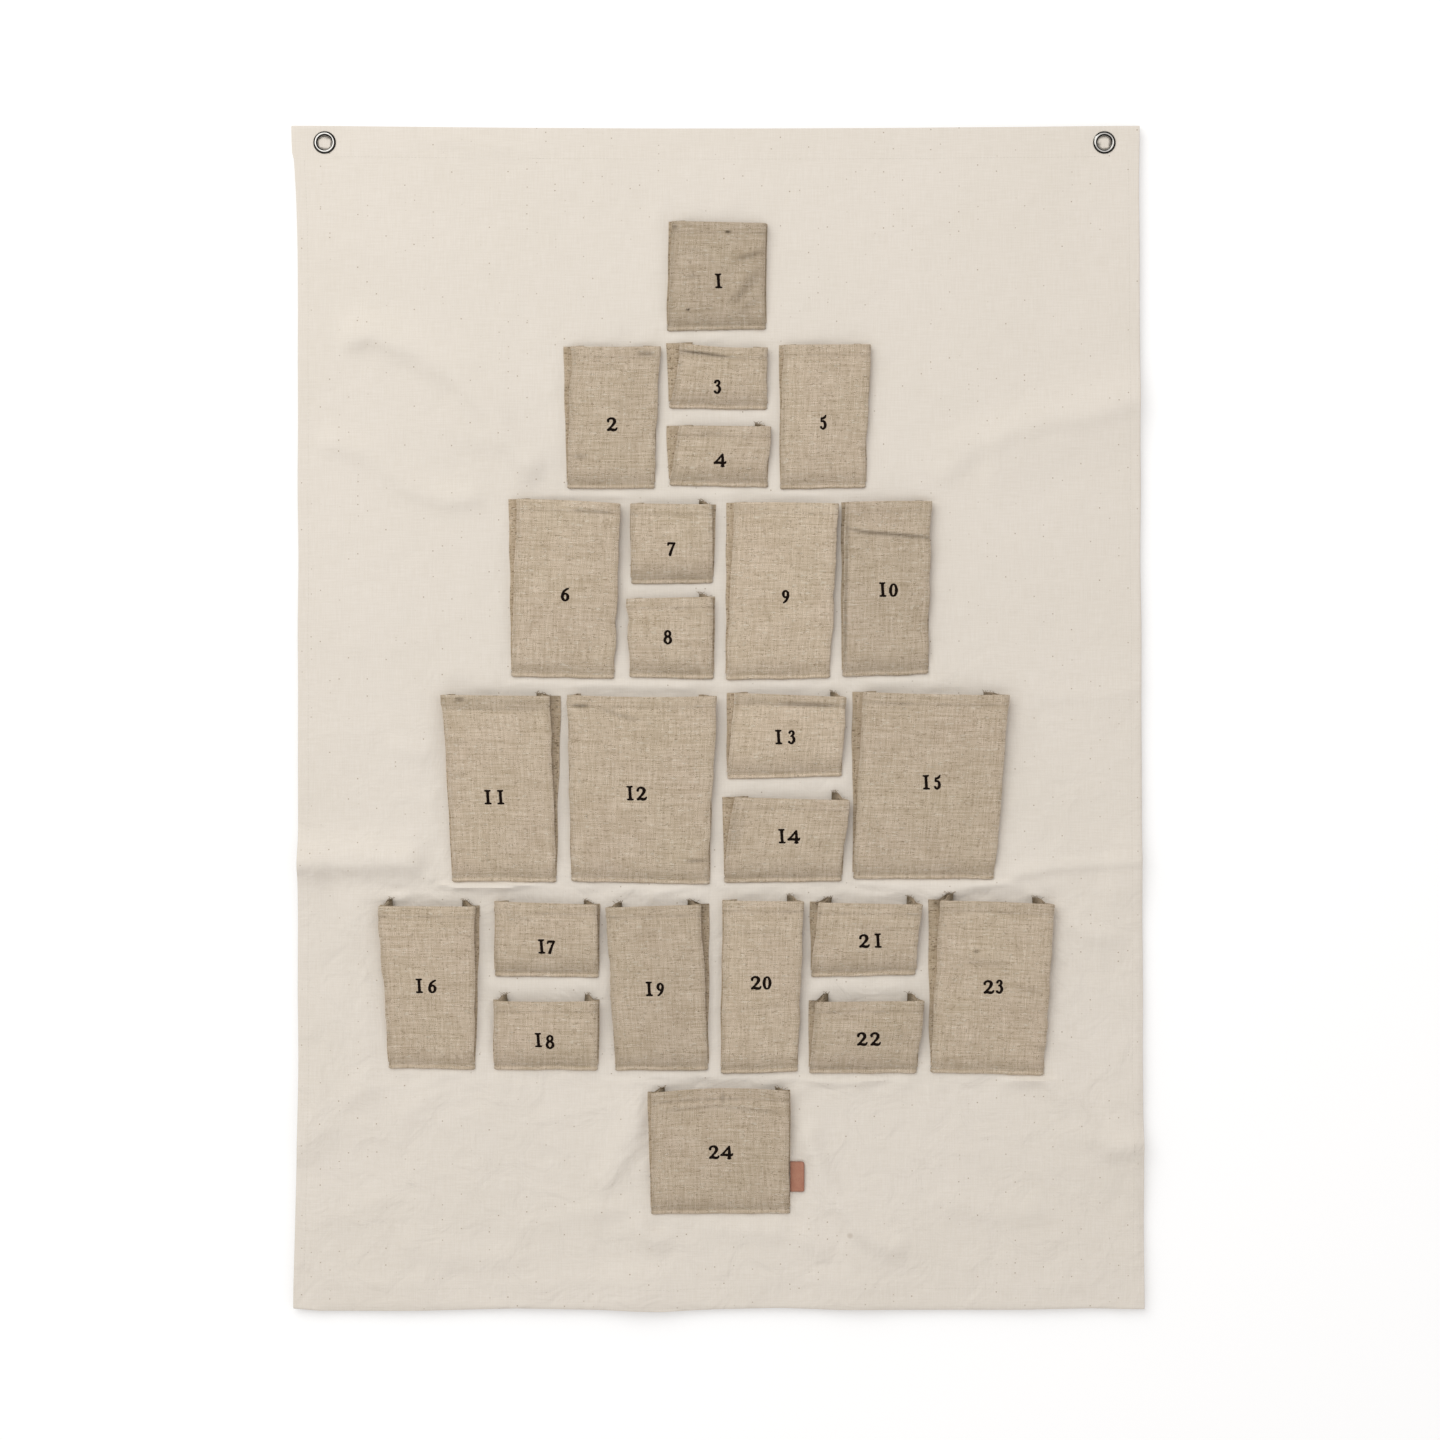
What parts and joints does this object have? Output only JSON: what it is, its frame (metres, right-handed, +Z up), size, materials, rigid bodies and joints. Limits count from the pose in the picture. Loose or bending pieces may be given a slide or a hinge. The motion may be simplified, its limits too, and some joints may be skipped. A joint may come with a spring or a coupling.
{
  "type": "advent calendar",
  "caption": "Hanging fabric advent calendar: a cotton wall cloth on metal eyelets, with numbered, open-topped linen pockets sewn on in the shape of a fir tree.",
  "frame": {"origin": "on the wall, midway between the centres of the two eyelets, which the calendar hangs from", "axes": "+X to the right as seen from the front, +Y into the wall, +Z up"},
  "size_m": [0.8632, 0.0156, 1.2],
  "materials": {
    "cotton_canvas": "unbleached plain-weave cotton canvas, matt, with small seed flecks",
    "linen": "natural slubby linen, matt, plain weave",
    "nickel_plate": "nickel-plated steel, polished",
    "leather": "bare tan leather, smooth grain"
  },
  "bodies": {
    "wall_hanging": {"wall_cloth": "cotton_canvas", "left_eyelet": "nickel_plate", "left_washer": "nickel_plate", "right_eyelet": "nickel_plate", "right_washer": "nickel_plate", "pocket_01_gusset": "linen", "pocket_02_gusset": "linen", "pocket_03_gusset": "linen", "pocket_04_gusset": "linen", "pocket_05_gusset": "linen", "pocket_06_gusset": "linen", "pocket_07_gusset": "linen", "pocket_08_gusset": "linen", "pocket_09_gusset": "linen", "pocket_10_gusset": "linen", "pocket_11_gusset": "linen", "pocket_12_gusset": "linen", "pocket_13_gusset": "linen", "pocket_14_gusset": "linen", "pocket_15_gusset": "linen", "pocket_16_gusset": "linen", "pocket_17_gusset": "linen", "pocket_18_gusset": "linen", "pocket_19_gusset": "linen", "pocket_20_gusset": "linen", "pocket_21_gusset": "linen", "pocket_22_gusset": "linen", "pocket_23_gusset": "linen", "pocket_24_gusset": "linen"},
    "pocket_01": {"pocket_01_front": "linen"},
    "pocket_02": {"pocket_02_front": "linen"},
    "pocket_03": {"pocket_03_front": "linen"},
    "pocket_04": {"pocket_04_front": "linen"},
    "pocket_05": {"pocket_05_front": "linen"},
    "pocket_06": {"pocket_06_front": "linen"},
    "pocket_07": {"pocket_07_front": "linen"},
    "pocket_08": {"pocket_08_front": "linen"},
    "pocket_09": {"pocket_09_front": "linen"},
    "pocket_10": {"pocket_10_front": "linen"},
    "pocket_11": {"pocket_11_front": "linen"},
    "pocket_12": {"pocket_12_front": "linen"},
    "pocket_13": {"pocket_13_front": "linen"},
    "pocket_14": {"pocket_14_front": "linen"},
    "pocket_15": {"pocket_15_front": "linen"},
    "pocket_16": {"pocket_16_front": "linen"},
    "pocket_17": {"pocket_17_front": "linen"},
    "pocket_18": {"pocket_18_front": "linen"},
    "pocket_19": {"pocket_19_front": "linen"},
    "pocket_20": {"pocket_20_front": "linen"},
    "pocket_21": {"pocket_21_front": "linen"},
    "pocket_22": {"pocket_22_front": "linen"},
    "pocket_23": {"pocket_23_front": "linen"},
    "pocket_24": {"pocket_24_front": "linen"},
    "tag": {"leather_tag": "leather"}
  },
  "joints": [
    {"name": "pocket_01_open", "type": "hinge", "parent": "wall_hanging", "child": "pocket_01", "pos_m": [0.00175, -0.0035, -0.19059], "axis": [1, 0, 0], "range_deg": [0, 7.5], "stiffness_Nm_per_rad": 0.0143, "springref_deg": -5.73, "deforming": ["pocket_01_gusset"]},
    {"name": "pocket_02_open", "type": "hinge", "parent": "wall_hanging", "child": "pocket_02", "pos_m": [-0.10545, -0.0035, -0.35117], "axis": [1, 0, 0], "range_deg": [0, 5.7], "stiffness_Nm_per_rad": 0.0218, "springref_deg": -5.73, "deforming": ["pocket_02_gusset"]},
    {"name": "pocket_03_open", "type": "hinge", "parent": "wall_hanging", "child": "pocket_03", "pos_m": [0.00371, -0.0035, -0.26934], "axis": [1, 0, 0], "range_deg": [0, 13.5], "stiffness_Nm_per_rad": 0.0046, "springref_deg": -5.73, "deforming": ["pocket_03_gusset"]},
    {"name": "pocket_04_open", "type": "hinge", "parent": "wall_hanging", "child": "pocket_04", "pos_m": [0.00371, -0.0035, -0.34917], "axis": [1, 0, 0], "range_deg": [0, 13.5], "stiffness_Nm_per_rad": 0.0046, "springref_deg": -5.73, "deforming": ["pocket_04_gusset"]},
    {"name": "pocket_05_open", "type": "hinge", "parent": "wall_hanging", "child": "pocket_05", "pos_m": [0.10992, -0.0035, -0.35017], "axis": [1, 0, 0], "range_deg": [0, 5.6], "stiffness_Nm_per_rad": 0.0216, "springref_deg": -5.73, "deforming": ["pocket_05_gusset"]},
    {"name": "pocket_06_open", "type": "hinge", "parent": "wall_hanging", "child": "pocket_06", "pos_m": [-0.15402, -0.0035, -0.54236], "axis": [1, 0, 0], "range_deg": [0, 4.5], "stiffness_Nm_per_rad": 0.0397, "springref_deg": -5.73, "deforming": ["pocket_06_gusset"]},
    {"name": "pocket_07_open", "type": "hinge", "parent": "wall_hanging", "child": "pocket_07", "pos_m": [-0.04367, -0.0035, -0.4466], "axis": [1, 0, 0], "range_deg": [0, 10.3], "stiffness_Nm_per_rad": 0.0064, "springref_deg": -5.73, "deforming": ["pocket_07_gusset"]},
    {"name": "pocket_08_open", "type": "hinge", "parent": "wall_hanging", "child": "pocket_08", "pos_m": [-0.04367, -0.0035, -0.54336], "axis": [1, 0, 0], "range_deg": [0, 10.2], "stiffness_Nm_per_rad": 0.0066, "springref_deg": -5.73, "deforming": ["pocket_08_gusset"]},
    {"name": "pocket_09_open", "type": "hinge", "parent": "wall_hanging", "child": "pocket_09", "pos_m": [0.06385, -0.0035, -0.54436], "axis": [1, 0, 0], "range_deg": [0, 4.5], "stiffness_Nm_per_rad": 0.0406, "springref_deg": -5.73, "deforming": ["pocket_09_gusset"]},
    {"name": "pocket_10_open", "type": "hinge", "parent": "wall_hanging", "child": "pocket_10", "pos_m": [0.17295, -0.0035, -0.54036], "axis": [1, 0, 0], "range_deg": [0, 4.6], "stiffness_Nm_per_rad": 0.0324, "springref_deg": -5.73, "deforming": ["pocket_10_gusset"]},
    {"name": "pocket_11_open", "type": "hinge", "parent": "wall_hanging", "child": "pocket_11", "pos_m": [-0.21355, -0.0035, -0.74911], "axis": [1, 0, 0], "range_deg": [0, 4.3], "stiffness_Nm_per_rad": 0.0453, "springref_deg": -5.73, "deforming": ["pocket_11_gusset"]},
    {"name": "pocket_12_open", "type": "hinge", "parent": "wall_hanging", "child": "pocket_12", "pos_m": [-0.07522, -0.0035, -0.75011], "axis": [1, 0, 0], "range_deg": [0, 4.3], "stiffness_Nm_per_rad": 0.0607, "springref_deg": -5.73, "deforming": ["pocket_12_gusset"]},
    {"name": "pocket_13_open", "type": "hinge", "parent": "wall_hanging", "child": "pocket_13", "pos_m": [0.0702, -0.0035, -0.64486], "axis": [1, 0, 0], "range_deg": [0, 9.7], "stiffness_Nm_per_rad": 0.0101, "springref_deg": -5.73, "deforming": ["pocket_13_gusset"]},
    {"name": "pocket_14_open", "type": "hinge", "parent": "wall_hanging", "child": "pocket_14", "pos_m": [0.0702, -0.0035, -0.74911], "axis": [1, 0, 0], "range_deg": [0, 9.7], "stiffness_Nm_per_rad": 0.0101, "springref_deg": -5.73, "deforming": ["pocket_14_gusset"]},
    {"name": "pocket_15_open", "type": "hinge", "parent": "wall_hanging", "child": "pocket_15", "pos_m": [0.21209, -0.0035, -0.74611], "axis": [1, 0, 0], "range_deg": [0, 4.3], "stiffness_Nm_per_rad": 0.0603, "springref_deg": -5.73, "deforming": ["pocket_15_gusset"]},
    {"name": "pocket_16_open", "type": "hinge", "parent": "wall_hanging", "child": "pocket_16", "pos_m": [-0.28657, -0.0035, -0.93905], "axis": [1, 0, 0], "range_deg": [0, 4.9], "stiffness_Nm_per_rad": 0.0287, "springref_deg": -5.73, "deforming": ["pocket_16_gusset"]},
    {"name": "pocket_17_open", "type": "hinge", "parent": "wall_hanging", "child": "pocket_17", "pos_m": [-0.17055, -0.0035, -0.8465], "axis": [1, 0, 0], "range_deg": [0, 10.9], "stiffness_Nm_per_rad": 0.0072, "springref_deg": -5.73, "deforming": ["pocket_17_gusset"]},
    {"name": "pocket_18_open", "type": "hinge", "parent": "wall_hanging", "child": "pocket_18", "pos_m": [-0.17055, -0.0035, -0.94005], "axis": [1, 0, 0], "range_deg": [0, 11.7], "stiffness_Nm_per_rad": 0.0063, "springref_deg": -5.73, "deforming": ["pocket_18_gusset"]},
    {"name": "pocket_19_open", "type": "hinge", "parent": "wall_hanging", "child": "pocket_19", "pos_m": [-0.05385, -0.0035, -0.94105], "axis": [1, 0, 0], "range_deg": [0, 4.8], "stiffness_Nm_per_rad": 0.032, "springref_deg": -5.73, "deforming": ["pocket_19_gusset"]},
    {"name": "pocket_20_open", "type": "hinge", "parent": "wall_hanging", "child": "pocket_20", "pos_m": [0.04518, -0.0035, -0.94405], "axis": [1, 0, 0], "range_deg": [0, 4.6], "stiffness_Nm_per_rad": 0.0292, "springref_deg": -5.73, "deforming": ["pocket_20_gusset"]},
    {"name": "pocket_21_open", "type": "hinge", "parent": "wall_hanging", "child": "pocket_21", "pos_m": [0.15056, -0.0035, -0.8465], "axis": [1, 0, 0], "range_deg": [0, 10.9], "stiffness_Nm_per_rad": 0.0074, "springref_deg": -5.73, "deforming": ["pocket_21_gusset"]},
    {"name": "pocket_22_open", "type": "hinge", "parent": "wall_hanging", "child": "pocket_22", "pos_m": [0.15056, -0.0035, -0.94405], "axis": [1, 0, 0], "range_deg": [0, 10.9], "stiffness_Nm_per_rad": 0.0074, "springref_deg": -5.73, "deforming": ["pocket_22_gusset"]},
    {"name": "pocket_23_open", "type": "hinge", "parent": "wall_hanging", "child": "pocket_23", "pos_m": [0.27621, -0.0035, -0.94505], "axis": [1, 0, 0], "range_deg": [0, 4.6], "stiffness_Nm_per_rad": 0.0425, "springref_deg": -5.73, "deforming": ["pocket_23_gusset"]},
    {"name": "pocket_24_open", "type": "hinge", "parent": "wall_hanging", "child": "pocket_24", "pos_m": [0.00558, -0.0035, -1.0862], "axis": [1, 0, 0], "range_deg": [0, 6.5], "stiffness_Nm_per_rad": 0.0266, "springref_deg": -5.73, "deforming": ["pocket_24_gusset"]},
    {"name": "tag_lift", "type": "hinge", "parent": "wall_hanging", "child": "tag", "pos_m": [0.07682, -0.005, -1.0487], "axis": [0, 0, -1], "range_deg": [0, 75], "stiffness_Nm_per_rad": 0.0002}
  ]
}
